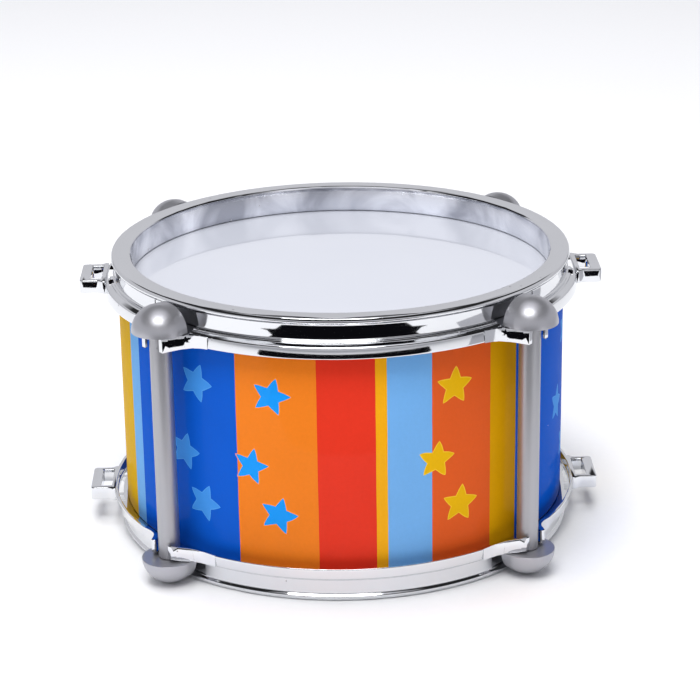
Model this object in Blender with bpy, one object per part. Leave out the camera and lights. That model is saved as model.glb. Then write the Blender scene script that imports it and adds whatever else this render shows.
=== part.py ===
"""A child's snare drum. A printed shell stands between two plated hoops, which four long screws draw together
over two stretched skins. Eight wire strands lie across the lower skin.

Metres, +Z up, standing on z = 0 with its axis on Z. The front is -Y and the strap loops are on +X and -X.
Each hoop is modelled as it lies on the floor, rim down, so a depth below the rim is a height here.
"""

import math

import bmesh
import bpy
from mathutils import Matrix, Vector

# Fits
TOUCH = 0.0003  # left between two pieces that rest on each other
SLIP = 0.0001  # running clearance round a screw in its nut or its tapped hole
FREE = 0.0003  # clearance round a screw in a plain hole

# Drum as a whole
RIM_RADIUS = 0.105
DRUM_HEIGHT = 0.130
SEGMENTS = 72

# Hoop section
RIM_WIDTH = 0.0091
RIM_BREAK = 0.0006  # broken edge inside the rim
RIM_ROUND = 0.0011
RIM_LIP = 0.0024  # depth of the rounded edge that stands out over the wall
WALL_INSET = 0.0013  # wall behind the rim's edge
MOULDING = 0.0018  # wall thickness of the hoop
HEAD_DEPTH = 0.0125  # rim face to skin
WEB_DEPTH = 0.0110  # rim face to the flange
RIDGE_RISE = 0.0011  # low ridge on the flange, next to the wall
RIDGE_WIDTH = 0.0004  # beyond the rim's edge
RIDGE_SLOPE = 0.0011  # width of the ridge's outer side
WALL_FILLET = 0.0005
FLANGE_ROUND = 0.0015  # rounded border between the flange and the skirt
FLANGE_WIDTH = 0.0038  # flange and skirt beyond the rim
SKIRT_FLARE = 0.0006  # skirt wider at its edge than at the flange
SKIRT_DEPTH = 0.0168

# Shell and skins
SHELL_INSET = 0.0027  # shell's outside behind the rim's edge
SHELL_WALL = 0.0024
FILM = 0.00035
HEAD_RING_HEIGHT = 0.0027

# Columns, domes, screws and nuts
COLUMN_RADIUS = 0.0048
COLUMN_BORE = 0.0026
COLUMN_STANDOFF = 0.0073  # column's axis beyond the rim's edge
SPIGOT_RADIUS = 0.0039  # turned-down end of a column, inside a dome
DOME_RADIUS = 0.0123
DOME_HEIGHT = 0.0117
DOME_BACK = 0.0052  # straight part of a dome behind the column's axis
DOME_GAP = 0.0007  # either side of a dome, in the notch that keeps it from turning
NOTCH_BITE = 0.0010  # depth of the flat that the notch leaves on the hoop's wall
DOME_CLEAR = 0.0003  # dome short of the rim face
SOCKET_DEPTH = 0.0020
SCREW_RADIUS = 0.0020
SCREW_HEAD_RADIUS = 0.0038
SCREW_HEAD_HEIGHT = 0.0024
SCREW_SINK = 0.0036  # depth of the hole that hides the head
SCREW_TIP = 0.0015  # screw beyond its nut
NUT_FLATS = 0.0070
NUT_HEIGHT = 0.0032

# Lug clips: two arms leave the skirt, run outwards and close round the column
ARM = 0.0021
ARM_REACH = 0.0050  # arm tips beyond the column's axis
ARM_SPREAD = 0.0182  # from the column's side to the crease where the arm leaves the skirt
ARM_DROP = 0.0032  # skirt edge at the tip beyond the skirt elsewhere
ARM_TIP = 0.0014  # arm's tip beyond the column's side
# Bends along an arm: how far each is beyond the column's axis, and beyond its side
ARM_BENDS = ((-0.0050, 0.0136), (-0.0035, 0.0100), (-0.0013, 0.0068), (0.0019, 0.0039))
SLOPE_START = 0.0060  # a lug's face leaves the flange this far inside the column's axis
SLOPE_END = 0.0027
SLAB_STEP = 0.0006  # a lug's face below the flange, so that the two never lie in one plane
PAD = 0.0016

# Strap loops
LOOP_WIDTH = 0.0246
LOOP_SIDE = 0.0029
LOOP_SLOT = 0.0051
LOOP_BAR = 0.0047
LOOP_GUSSET = 0.0017
LOOP_CORNER = 0.0016
LOOP_GAP = 0.0005  # skirt to the slot
FLANGE_POCKET = 0.0022
POCKET_LENGTH = 0.0070
POCKET_EDGE = 0.0004  # skirt's inner side to the pockets

# Snares
STRANDS = 8
STRAND_RADIUS = 0.0008
STRAND_PITCH = 0.0032
PLATE_INSET = 0.0200  # rim's inside to the end plate
PLATE_LENGTH = 0.0180
PLATE_THICKNESS = 0.0010
STRAND_GRIP = 0.0060  # length of strand soldered on its plate
BRACKET_WIDTH = 0.0100
BRACKET_LAP = 0.0090  # bracket over the plate
SHEET = 0.0012
SMALL_SCREW_RADIUS = 0.0014
SMALL_HEAD_RADIUS = 0.0026
SMALL_HEAD_HEIGHT = 0.0017
WALL_SCREW_HEIGHT = 0.0065
WALL_SCREW_TIP = 0.0021

# Worked out from the sizes above
rim_inside = RIM_RADIUS - RIM_WIDTH
wall_outside = RIM_RADIUS - WALL_INSET
skirt_radius = RIM_RADIUS + FLANGE_WIDTH
shell_radius = RIM_RADIUS - SHELL_INSET
shell_end = HEAD_DEPTH + FILM + TOUCH
channel_inside = rim_inside + MOULDING
channel_outside = wall_outside - MOULDING
skin_radius = channel_outside - TOUCH
column_axis = RIM_RADIUS + COLUMN_STANDOFF
plate_height = DOME_HEIGHT + DOME_CLEAR
seat_height = plate_height + TOUCH
loop_inner = skirt_radius + LOOP_GAP
loop_outer = loop_inner + LOOP_SLOT + LOOP_BAR

LUGS = {"front_right": -45, "back_right": 45, "back_left": 135, "front_left": 225}


# ---------------------------------------------------------------- tools


def colour(name, rgb, roughness, metallic=0.0):
    """A Principled material of one colour."""
    made = bpy.data.materials.new(name)
    made.use_nodes = True
    shader = made.node_tree.nodes["Principled BSDF"]
    shader.inputs["Base Color"].default_value = (*rgb, 1.0)
    shader.inputs["Roughness"].default_value = roughness
    shader.inputs["Metallic"].default_value = metallic
    return made


def add(name, bm, finish=None):
    """An object of this mesh, with its faces turned outwards and its round parts shaded smooth."""
    bmesh.ops.recalc_face_normals(bm, faces=bm.faces)
    mesh = bpy.data.meshes.new(name)
    bm.to_mesh(mesh)
    bm.free()
    obj = bpy.data.objects.new(name, mesh)
    bpy.context.scene.collection.objects.link(obj)
    finished(obj, finish)
    return obj


def finished(obj, finish):
    if finish:
        obj.data.materials.clear()
        obj.data.materials.append(finish)
    obj.data.shade_smooth()
    obj.data.set_sharp_from_angle(angle=math.radians(32))


def placed(obj, parent, height=0.0, turn=0.0):
    """Puts an object on its parent's Z axis, and turns it about the parent's X axis."""
    obj.parent = parent
    obj.location = (0, 0, height)
    obj.rotation_euler = (turn, 0, 0)


def copied(name, source):
    """A second object of the same mesh."""
    obj = bpy.data.objects.new(name, source.data)
    bpy.context.scene.collection.objects.link(obj)
    return obj


def marker(name, place, angle):
    """An empty that pieces are parented to."""
    obj = bpy.data.objects.new(name, None)
    obj.location = place
    obj.rotation_euler = (0, 0, angle)
    bpy.context.scene.collection.objects.link(obj)
    return obj


def combine(target, tool, operation):
    """Applies one Boolean to the target and deletes the tool."""
    step = target.modifiers.new("combine", "BOOLEAN")
    step.operation = operation
    step.solver = "EXACT"
    step.object = tool
    graph = bpy.context.evaluated_depsgraph_get()
    made = bpy.data.meshes.new_from_object(target.evaluated_get(graph))
    target.modifiers.clear()
    target.data = made
    bpy.data.objects.remove(tool)


def turned(outline, segments=SEGMENTS, closed=True):
    """The outline of (radius, height) points turned about Z: a ring, or an open outline that ends on the axis."""
    bm = bmesh.new()
    points = [bm.verts.new((radius, 0, height)) for radius, height in outline]
    ends = points[1:] + points[:1] if closed else points[1:]
    for start, end in zip(points, ends):
        bm.edges.new((start, end))
    bmesh.ops.spin(
        bm, geom=bm.verts[:] + bm.edges[:], cent=(0, 0, 0), axis=(0, 0, 1), angle=math.tau, steps=segments
    )
    bmesh.ops.remove_doubles(bm, verts=bm.verts, dist=1e-6)
    return bm


def prism(outline, low, high):
    """The closed outline of (x, y) points extruded from one height to another."""
    bm = bmesh.new()
    face = bm.faces.new([bm.verts.new((x, y, low)) for x, y in outline])
    top = bmesh.ops.extrude_face_region(bm, geom=[face])["geom"]
    bmesh.ops.translate(bm, verts=[v for v in top if isinstance(v, bmesh.types.BMVert)], vec=(0, 0, high - low))
    return bm


def rod(radius, low, high, segments=24, x=0.0, y=0.0):
    """A solid cylinder along Z."""
    bm = bmesh.new()
    place = Matrix.Translation((x, y, (low + high) / 2))
    bmesh.ops.create_cone(
        bm, cap_ends=True, segments=segments, radius1=radius, radius2=radius, depth=high - low, matrix=place
    )
    return bm


def block(low, high):
    """A box between two corners."""
    middle = (Vector(low) + Vector(high)) / 2
    sides = Vector(high) - Vector(low)
    bm = bmesh.new()
    bmesh.ops.create_cube(bm, size=1.0, matrix=Matrix.Translation(middle) @ Matrix.Diagonal((*sides, 1)))
    return bm


def moved_in(path, distance):
    """An open path of (x, y) points moved to its left-hand side, with its corners mitred."""
    points = [Vector(point) for point in path]
    ways = [(b - a).normalized() for a, b in zip(points, points[1:])]
    sides = [Vector((-way.y, way.x)) for way in ways]
    sides = [sides[0]] + sides + [sides[-1]]
    made = []
    for point, before, after in zip(points, sides, sides[1:]):
        corner = (before + after).normalized()
        made.append(tuple(point + corner * distance / corner.dot(after)))
    return made


def sector(inner, outer, start, end, low, high):
    """Part of a flat ring, between two angles in degrees from +X."""
    steps = 6
    angles = [math.radians(start + (end - start) * i / steps) for i in range(steps + 1)]
    out = [(outer * math.cos(a), outer * math.sin(a)) for a in angles]
    back = [(inner * math.cos(a), inner * math.sin(a)) for a in reversed(angles)]
    return prism(out + back, low, high)


# ---------------------------------------------------------------- hoops


def hoop_section():
    """The hoop's outline from the foot of its inner wall, over the rim and flange, to the channel for the skin."""
    bottom = HEAD_DEPTH - TOUCH
    under = HEAD_DEPTH + FILM
    ridge_top = WEB_DEPTH - RIDGE_RISE
    ridge = RIM_RADIUS + RIDGE_WIDTH
    border = skirt_radius - SKIRT_FLARE
    return [
        (rim_inside, bottom),
        (rim_inside, RIM_BREAK),
        (rim_inside + RIM_BREAK, 0.0),
        (RIM_RADIUS - RIM_ROUND, 0.0),
        (RIM_RADIUS - RIM_ROUND * 0.3, RIM_ROUND * 0.3),
        (RIM_RADIUS, RIM_ROUND),
        (RIM_RADIUS, RIM_LIP * 0.8),
        (wall_outside, RIM_LIP * 1.25),
        (wall_outside, ridge_top - 2.4 * WALL_FILLET),
        (wall_outside + WALL_FILLET, ridge_top - 0.6 * WALL_FILLET),
        (ridge, ridge_top),
        (ridge + RIDGE_SLOPE * 0.7, WEB_DEPTH - RIDGE_RISE * 0.4),
        (ridge + RIDGE_SLOPE, WEB_DEPTH + TOUCH),
        (border - FLANGE_ROUND, WEB_DEPTH),
        (border - FLANGE_ROUND * 0.25, WEB_DEPTH + FLANGE_ROUND * 0.25),
        (border, WEB_DEPTH + FLANGE_ROUND * 0.85),
        (skirt_radius, SKIRT_DEPTH),
        (skirt_radius - MOULDING, SKIRT_DEPTH),
        (skirt_radius - MOULDING, under),
        (channel_outside, under),
        (channel_outside, MOULDING),
        (channel_inside, MOULDING),
        (channel_inside, bottom),
    ]


def arm_path():
    """The outer side of one lug arm, from its crease on the skirt to its tip beside the column."""
    crease = COLUMN_RADIUS + ARM_SPREAD
    root = math.sqrt(skirt_radius**2 - crease**2) + TOUCH / 3
    bends = [(column_axis + x, -COLUMN_RADIUS - y) for x, y in ARM_BENDS]
    return [(root, -crease)] + bends + [(column_axis + ARM_REACH, -COLUMN_RADIUS - ARM_TIP)]


def both_arms(path, root_radius):
    """The outline of both arms, closed by an arc about the drum's axis."""
    widest = 0.9 * math.asin((COLUMN_RADIUS + ARM_SPREAD) / skirt_radius)
    angles = [widest * step / 3 for step in (3, 2, 1, 0, -1, -2, -3)]
    root = [(root_radius * math.cos(angle), root_radius * math.sin(angle)) for angle in angles]
    return path + [(x, -y) for x, y in reversed(path)] + root


def lug_block():
    """The mass of one lug: what the two arms enclose, sloping away from the rim towards the tips."""
    body = add("lug", prism(both_arms(arm_path(), shell_radius + 2 * TOUCH), 0.002, 0.040))
    back, tip = wall_outside - 0.003, column_axis + ARM_REACH + 0.001
    near, far = column_axis - SLOPE_START, column_axis - SLOPE_END
    side_view = [
        (back, WEB_DEPTH + SLAB_STEP),
        (near, WEB_DEPTH + SLAB_STEP),
        (far, seat_height - TOUCH),
        (far + SLOPE_START * 0.7, seat_height + TOUCH),
        (tip, seat_height + ARM_DROP * 0.5),
        (tip, SKIRT_DEPTH + ARM_DROP),
        (far, SKIRT_DEPTH + ARM_DROP * 0.42),
        (near, SKIRT_DEPTH + 0.0002),
        (back, SKIRT_DEPTH + 0.0002),
    ]
    slope = add("slope", prism([(x, -z) for x, z in side_view], -0.05, 0.05))
    slope.data.transform(Matrix.Rotation(-math.pi / 2, 4, "X"))
    combine(body, slope, "INTERSECT")
    return body


def lug_cut():
    """What is cut from a lug: the hollow between the arms, the seat for the dome and the column's slot."""
    inner = moved_in(arm_path(), ARM)
    cut = add("hollow", prism(both_arms(inner, shell_radius + TOUCH), seat_height + PAD, 0.040))
    half = DOME_RADIUS + DOME_GAP
    notch = block((wall_outside - NOTCH_BITE, -half, RIM_LIP * 1.35), (column_axis + 0.020, half, seat_height))
    combine(cut, add("notch", notch), "UNION")
    front = block((RIM_RADIUS + RIDGE_WIDTH, -half, 0.0004), (column_axis + 0.019, half, RIM_LIP * 1.5))
    combine(cut, add("front", front), "UNION")
    grip = COLUMN_RADIUS + 2 * TOUCH
    combine(cut, add("slot", rod(grip, 0.001, 0.039, 32, column_axis)), "UNION")
    mouth = block((column_axis, -grip * 0.8, 0.0015), (column_axis + 0.019, grip * 0.8, 0.0385))
    combine(cut, add("mouth", mouth), "UNION")
    return cut


def strap_loop():
    """One strap loop on +X, with a slot for the webbing."""
    half = LOOP_WIDTH / 2
    root = skirt_radius - MOULDING * 0.9
    side = [
        (root, half + LOOP_GUSSET),
        (skirt_radius - 0.0003, half + LOOP_GUSSET),
        (skirt_radius + LOOP_GUSSET, half),
        (loop_outer - LOOP_CORNER, half),
        (loop_outer - LOOP_CORNER * 0.3, half - LOOP_CORNER * 0.3),
        (loop_outer, half - LOOP_CORNER),
    ]
    outline = side + [(x, -y) for x, y in reversed(side)]
    body = add("strap_loop", prism(outline, WEB_DEPTH - 0.0002, SKIRT_DEPTH + 0.0002))
    inside = half - LOOP_SIDE
    slot = block((loop_inner, -inside, 0), (loop_inner + LOOP_SLOT, inside, 0.03))
    combine(body, add("slot", slot), "DIFFERENCE")
    return body


def hoop():
    """The moulding that both hoops share, lying rim down."""
    made = add("hoop", turned(hoop_section()))
    steps = [(lug_block, angle, "UNION") for angle in LUGS.values()]
    steps += [(lug_cut, angle, "DIFFERENCE") for angle in LUGS.values()]
    steps += [(strap_loop, angle, "UNION") for angle in (0, 180)]
    for shape, angle, operation in steps:
        part = shape()
        part.data.transform(Matrix.Rotation(math.radians(angle), 4, "Z"))
        combine(made, part, operation)
    # Three pockets through the flange at each loop leave two ribs in line with the loop's sides.
    middle = skirt_radius - MOULDING - POCKET_EDGE - FLANGE_POCKET / 2
    rib = math.degrees((LOOP_WIDTH / 2 - LOOP_SIDE) / middle)
    wide = math.degrees(LOOP_SIDE / middle)
    outer = math.degrees(POCKET_LENGTH / middle)
    spans = ((-rib, rib), (rib + wide, rib + wide + outer), (-rib - wide - outer, -rib - wide))
    for side in (0, 180):
        for start, end in spans:
            inside, outside = middle - FLANGE_POCKET / 2, middle + FLANGE_POCKET / 2
            pocket = sector(inside, outside, side + start, side + end, WEB_DEPTH - 0.004, WEB_DEPTH + 0.004)
            combine(made, add("pocket", pocket), "DIFFERENCE")
    return made


def hoops():
    plated = colour("plated_hoop", (0.62, 0.63, 0.66), 0.12, 1.0)
    bottom = hoop()
    bottom.name = "bottom_hoop"
    finished(bottom, plated)
    top = copied("top_hoop", bottom)
    top.location = (0, 0, DRUM_HEIGHT)
    top.rotation_euler = (math.pi, 0, 0)
    # Only the bottom hoop is drilled, for the two screws that hold the snare brackets.
    bottom.data = bottom.data.copy()
    reach = channel_outside - 0.001
    hole = add("hole", rod(SMALL_SCREW_RADIUS + SLIP, -reach, reach, 16))
    hole.data.transform(Matrix.Rotation(math.pi / 2, 4, "Y") @ Matrix.Rotation(math.pi / 16, 4, "Z"))
    hole.location = (0, 0, WALL_SCREW_HEIGHT)
    bpy.context.view_layer.update()
    combine(bottom, hole, "DIFFERENCE")
    finished(bottom, plated)


# ---------------------------------------------------------------- shell and skins


def shell():
    finish = colour("printed_shell", (0.02, 0.12, 0.62), 0.15)
    low, high = shell_end, DRUM_HEIGHT - shell_end
    inside = shell_radius - SHELL_WALL
    add("shell", turned([(shell_radius, low), (shell_radius, high), (inside, high), (inside, low)]), finish)


def skins():
    skin = colour("skin", (0.78, 0.80, 0.85), 0.12)
    ring = colour("skin_ring", (0.75, 0.75, 0.76), 0.4)
    inside, outside = channel_inside + TOUCH, channel_outside - TOUCH
    seat = HEAD_DEPTH - TOUCH
    section = [(outside, seat), (inside, seat)]
    section += [(inside, seat - HEAD_RING_HEIGHT), (outside, seat - HEAD_RING_HEIGHT)]
    add("snare_head", rod(skin_radius, HEAD_DEPTH, HEAD_DEPTH + FILM, SEGMENTS), skin)
    add("snare_head_ring", turned(section), ring)
    top = DRUM_HEIGHT - HEAD_DEPTH
    add("batter_head", rod(skin_radius, top - FILM, top, SEGMENTS), skin)
    add("batter_head_ring", turned([(radius, DRUM_HEIGHT - height) for radius, height in section]), ring)


# ---------------------------------------------------------------- columns, domes and screws


def dome(*bores):
    """A dome hanging from its flat face at z = 0, with the column's axis on Z and the drum's centre at -X.

    In front of the axis it is a quarter of a flattened ball. Behind it the same arch runs straight back.
    """
    bm = bmesh.new()
    for step in range(6):
        rise = math.radians(90 * step / 6)
        radius, height = DOME_RADIUS * math.cos(rise), -DOME_HEIGHT * math.sin(rise)
        for part in range(13):
            turn = math.radians(-90 + 180 * part / 12)
            bm.verts.new((radius * math.cos(turn), radius * math.sin(turn), height))
        for side in (radius, -radius):
            bm.verts.new((-DOME_BACK, side, height))
    bm.verts.new((0, 0, -DOME_HEIGHT))
    bm.verts.new((-DOME_BACK, 0, -DOME_HEIGHT))
    bmesh.ops.convex_hull(bm, input=bm.verts)
    made = add("dome", bm)
    for bore in (rod(SPIGOT_RADIUS + TOUCH, -SOCKET_DEPTH, 0.01), *bores):
        combine(made, add("bore", bore), "DIFFERENCE")
    return made


def screw(name, radius, head_radius, head_height, length, finish):
    """A pan-head screw on Z: its seat is at z = 0, its shank points up and its head has a cross cut in it."""
    outline = [(0, -head_height), (head_radius * 0.6, -head_height), (head_radius, -head_height * 0.55)]
    outline += [(head_radius, 0), (radius, 0), (radius, length), (0, length)]
    made = add(name, turned(outline, 20, closed=False))
    wide, deep, thick = head_radius * 0.62, head_height * 0.55, head_radius * 0.11
    for x, y in ((wide, thick), (thick, wide)):
        arm = block((-x, -y, -head_height - 0.001), (x, y, deep - head_height))
        combine(made, add("cross", arm), "DIFFERENCE")
    finished(made, finish)
    return made


def corners():
    """At each lug, a column between two domes, with the tension screw and its nut inside."""
    grey = colour("satin_grey", (0.33, 0.33, 0.35), 0.35, 0.6)
    steel = colour("zinc_steel", (0.55, 0.55, 0.56), 0.3, 1.0)
    low, high = plate_height, DRUM_HEIGHT - plate_height
    hole = SCREW_RADIUS + FREE
    seat = SCREW_SINK - DOME_HEIGHT
    nut_low = SOCKET_DEPTH
    nut_high = nut_low + NUT_HEIGHT
    tip = nut_high + SCREW_TIP
    lower = dome(
        rod(hole, -DOME_HEIGHT - 0.001, 0.001, 20),
        rod(SCREW_HEAD_RADIUS + FREE, -DOME_HEIGHT - 0.001, seat),
    )
    upper = dome(
        rod((NUT_FLATS / 2 + TOUCH) / math.cos(math.pi / 6), -nut_high - TOUCH, 0, 6),
        rod(hole, -tip - TOUCH, 0, 20),
    )
    shoulder, end = low + TOUCH, low - SOCKET_DEPTH + TOUCH
    half = [(COLUMN_RADIUS, shoulder), (SPIGOT_RADIUS, shoulder), (SPIGOT_RADIUS, end), (COLUMN_BORE, end)]
    tube = half + [(radius, DRUM_HEIGHT - height) for radius, height in reversed(half)]
    column = add("column", turned(tube, 24))
    nut = add("nut", rod(NUT_FLATS / 2 / math.cos(math.pi / 6), nut_low, nut_high, 6))
    combine(nut, add("bore", rod(SCREW_RADIUS + SLIP, 0, 0.05, 20)), "DIFFERENCE")
    head_top = low + seat - TOUCH
    length = high + tip - head_top
    bolt = screw("bolt", SCREW_RADIUS, SCREW_HEAD_RADIUS, SCREW_HEAD_HEIGHT, length, steel)
    patterns = {
        "column": (column, grey, 0.0, 0.0),
        "bottom_dome": (lower, grey, low, 0.0),
        "top_dome": (upper, grey, high, math.pi),
        "captive_nut": (nut, steel, high, 0.0),
        "tension_screw": (bolt, steel, head_top, 0.0),
    }
    for pattern, finish, _, _ in patterns.values():
        finished(pattern, finish)
    for corner, degrees in LUGS.items():
        angle = math.radians(degrees)
        axis = marker("lug_" + corner, (column_axis * math.cos(angle), column_axis * math.sin(angle), 0), angle)
        for kind, (pattern, _, height, turn) in patterns.items():
            placed(copied(kind + "_" + corner, pattern), axis, height, turn)
    for pattern, _, _, _ in patterns.values():
        bpy.data.objects.remove(pattern)


# ---------------------------------------------------------------- snares


def snares():
    """Strands across the lower skin, soldered to a plate at each end that a bracket holds to the bottom hoop."""
    wire = colour("snare_wire", (0.60, 0.60, 0.60), 0.25, 1.0)
    steel = colour("snare_steel", (0.50, 0.50, 0.51), 0.35, 1.0)
    strand_height = HEAD_DEPTH - TOUCH - STRAND_RADIUS
    plate_top = strand_height - STRAND_RADIUS - TOUCH
    plate_low = plate_top - PLATE_THICKNESS
    plate_end = rim_inside - PLATE_INSET
    plate_start = plate_end - PLATE_LENGTH
    half_plate = STRANDS * STRAND_PITCH / 2 + 0.0012
    strand_end = plate_start + STRAND_GRIP
    across = Matrix.Rotation(math.pi / 2, 4, "Y")
    for number in range(STRANDS):
        strand = add("snare_strand_%d" % (number + 1), rod(STRAND_RADIUS, -strand_end, strand_end, 10), wire)
        strand.data.transform(across)
        strand.location = (0, (number - (STRANDS - 1) / 2) * STRAND_PITCH, strand_height)

    half_bracket = BRACKET_WIDTH / 2
    foot = math.sqrt(rim_inside**2 - half_bracket**2) - TOUCH
    lap = plate_end - BRACKET_LAP
    clamp = plate_end - BRACKET_LAP / 2
    shelf = plate_top + TOUCH
    roof = shelf + SHEET
    floor = WALL_SCREW_HEIGHT - SMALL_HEAD_RADIUS - 0.0006
    side_view = [(lap, shelf), (foot - SHEET, shelf), (foot - SHEET, floor), (foot, floor), (foot, roof), (lap, roof)]
    pin = SMALL_SCREW_RADIUS
    plate = add("plate", block((plate_start, -half_plate, plate_low), (plate_end, half_plate, plate_top)), steel)
    combine(plate, add("hole", rod(pin + FREE, 0, 0.05, 16, clamp)), "DIFFERENCE")
    bracket = add("bracket", prism([(x, -z) for x, z in side_view], -half_bracket, half_bracket), steel)
    bracket.data.transform(Matrix.Rotation(-math.pi / 2, 4, "X"))
    combine(bracket, add("hole", rod(pin + SLIP, shelf - 0.001, roof + 0.001, 16, clamp)), "DIFFERENCE")
    hole = add("hole", rod(pin + FREE, foot - 0.005, foot + 0.005, 16))
    hole.data.transform(Matrix.Translation((0, 0, WALL_SCREW_HEIGHT)) @ across)
    combine(bracket, hole, "DIFFERENCE")
    for made in (plate, bracket):
        finished(made, steel)
    clamp_length = roof - plate_low + TOUCH - 0.0002
    wall_length = SHEET + MOULDING + WALL_SCREW_TIP
    clamp_screw = screw("clamp", pin, SMALL_HEAD_RADIUS, SMALL_HEAD_HEIGHT, clamp_length, steel)
    clamp_screw.data.transform(Matrix.Translation((clamp, 0, plate_low - TOUCH)))
    wall_screw = screw("wall", pin, SMALL_HEAD_RADIUS, SMALL_HEAD_HEIGHT, wall_length, steel)
    wall_screw.data.transform(Matrix.Translation((foot - SHEET - TOUCH, 0, WALL_SCREW_HEIGHT)) @ across)
    patterns = {
        "snare_plate": plate,
        "snare_bracket": bracket,
        "snare_clamp_screw": clamp_screw,
        "snare_wall_screw": wall_screw,
    }
    for side, angle in (("right", 0.0), ("left", math.pi)):
        holder = marker("snare_end_" + side, (0, 0, 0), angle)
        for kind, pattern in patterns.items():
            placed(copied(kind + "_" + side, pattern), holder)
    for pattern in patterns.values():
        bpy.data.objects.remove(pattern)


for old in list(bpy.data.objects):
    bpy.data.objects.remove(old)
hoops()
shell()
skins()
corners()
snares()
bpy.context.view_layer.update()
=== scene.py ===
# %% [markdown]
# # A child's snare drum
# This lesson dresses a packed drum model for its portrait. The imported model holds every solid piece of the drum
# in its right place. Here each piece gets a finer shape and a finish made of shader nodes: plated hoops, a
# printed shell, glossy skins, silver-painted corner fittings, and the steel screws and snares underneath.
# Everything is in metres, with the drum standing on z = 0 and its front towards -Y.

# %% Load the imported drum
import math

import bmesh
import bpy
from mathutils import Matrix, Vector


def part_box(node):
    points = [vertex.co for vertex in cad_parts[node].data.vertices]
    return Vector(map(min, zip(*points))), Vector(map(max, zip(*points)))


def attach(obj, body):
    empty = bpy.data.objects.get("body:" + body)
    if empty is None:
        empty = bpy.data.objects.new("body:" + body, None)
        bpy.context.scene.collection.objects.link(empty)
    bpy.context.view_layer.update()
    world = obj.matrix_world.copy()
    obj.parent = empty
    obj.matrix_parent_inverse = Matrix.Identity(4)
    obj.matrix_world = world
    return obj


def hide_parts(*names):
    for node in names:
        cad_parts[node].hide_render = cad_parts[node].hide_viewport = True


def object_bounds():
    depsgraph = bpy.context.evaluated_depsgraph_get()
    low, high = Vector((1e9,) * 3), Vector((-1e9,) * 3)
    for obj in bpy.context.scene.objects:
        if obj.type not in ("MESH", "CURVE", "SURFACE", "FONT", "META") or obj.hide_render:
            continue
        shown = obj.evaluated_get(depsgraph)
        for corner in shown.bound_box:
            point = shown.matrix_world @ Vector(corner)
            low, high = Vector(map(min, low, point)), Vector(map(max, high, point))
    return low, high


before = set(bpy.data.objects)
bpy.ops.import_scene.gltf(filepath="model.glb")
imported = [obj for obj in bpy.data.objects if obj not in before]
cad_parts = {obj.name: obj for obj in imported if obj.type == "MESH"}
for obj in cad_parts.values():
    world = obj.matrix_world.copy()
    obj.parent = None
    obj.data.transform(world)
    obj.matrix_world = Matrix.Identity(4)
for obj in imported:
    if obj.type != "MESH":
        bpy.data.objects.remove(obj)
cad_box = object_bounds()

scene = bpy.context.scene
print("the drum is", [round(1000 * (b - a), 1) for a, b in zip(*cad_box)], "mm")

# %% [markdown]
# ## Sizes
# The fine pieces have to sit where the solid ones do, so the sizes that they share are written down once.
# Those that can be read from the imported model are read from it: the height of the drum, the place of a column and
# the shell's ends. The rim's radius is given as 105 mm. The rest are the wall thicknesses and steps of the
# mouldings.

# %% Sizes that the pieces share
MM = 0.001
shell_low, shell_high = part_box("shell")
column_low, column_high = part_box("column_front_right")
rim_radius = 105 * MM
drum_height = cad_box[1][2]
shell_radius = rim_radius - 2.7 * MM
column_axis = Vector(((column_low[0] + column_high[0]) / 2, (column_low[1] + column_high[1]) / 2)).length
rim_inside = rim_radius - 9.1 * MM
wall_outside = rim_radius - 1.3 * MM
skirt_radius = rim_radius + 3.8 * MM
moulding = 1.8 * MM
head_depth = 12.5 * MM
film = 0.35 * MM
touch = 0.3 * MM
web_depth = 11.0 * MM
skirt_depth = 16.8 * MM
plate_height = 12.0 * MM
seat_height = plate_height + touch
LUGS = {"front_right": -45, "back_right": 45, "back_left": 135, "front_left": 225}
print("columns stand %.1f mm from the drum's axis" % (1000 * column_axis))

# %% [markdown]
# ## Camera
# A long lens from a little above, as for a catalogue picture. The drum is turned a hair on its stand, which is
# done here by swinging the camera round it, so that the drum itself stays square to the axes.

# %% Camera
ELEVATION = math.radians(19.91)
ROLL = math.radians(-0.842)
SWING = math.radians(-1.4)
AIM = (0.0362, 0, 0.7454)  # this and the distance are in rim radii
DISTANCE = 10.401
aim = Vector(AIM) * rim_radius
back = Vector((0, -math.cos(ELEVATION), math.sin(ELEVATION)))
place = aim + back * DISTANCE * rim_radius
side = Vector((1, 0, 0))
rise = side.cross(-back)
right = math.cos(ROLL) * side + math.sin(ROLL) * rise
over = -math.sin(ROLL) * side + math.cos(ROLL) * rise


def place_new(name, data):
    """A new object of this mesh, lamp or camera, linked to the scene."""
    made = bpy.data.objects.new(name, data)
    scene.collection.objects.link(made)
    return made


camera = place_new("camera", bpy.data.cameras.new("camera"))
camera.data.lens = 120.45
camera.data.sensor_width = 36
camera.data.clip_end = 20
turned_view = Matrix((right, over, back)).transposed().to_4x4()
turned_view.translation = place
camera.matrix_world = Matrix.Rotation(SWING, 4, "Z") @ turned_view
scene.camera = camera
print("camera at", [round(c, 3) for c in camera.location])

# %% [markdown]
# ## Helpers for materials
# A finish is a small graph of nodes. These few functions make one, so that each finish below reads as a recipe:
# `node` adds a node and plugs values or other nodes into it, `finish` starts a material with one Principled
# shader, and `effect` starts a shader node group, which is how an effect is shared between several finishes.

# %% Helpers for materials


def node(tree, kind, settings=None, **inputs):
    """A node whose inputs are given by name, with underscores for spaces, or by place as i0, i1 and so on."""
    made = tree.nodes.new(kind)
    for key, value in (settings or {}).items():
        setattr(made, key, value)
    for key, value in inputs.items():
        position = int(key[1:]) if key[1:].isdigit() else key.replace("_", " ")
        plug(tree, value, made.inputs[position])
    return made


def plug(tree, value, socket):
    """Links a socket, or sets a plain value."""
    if isinstance(value, bpy.types.NodeSocket):
        tree.links.new(value, socket)
    else:
        socket.default_value = value


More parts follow.
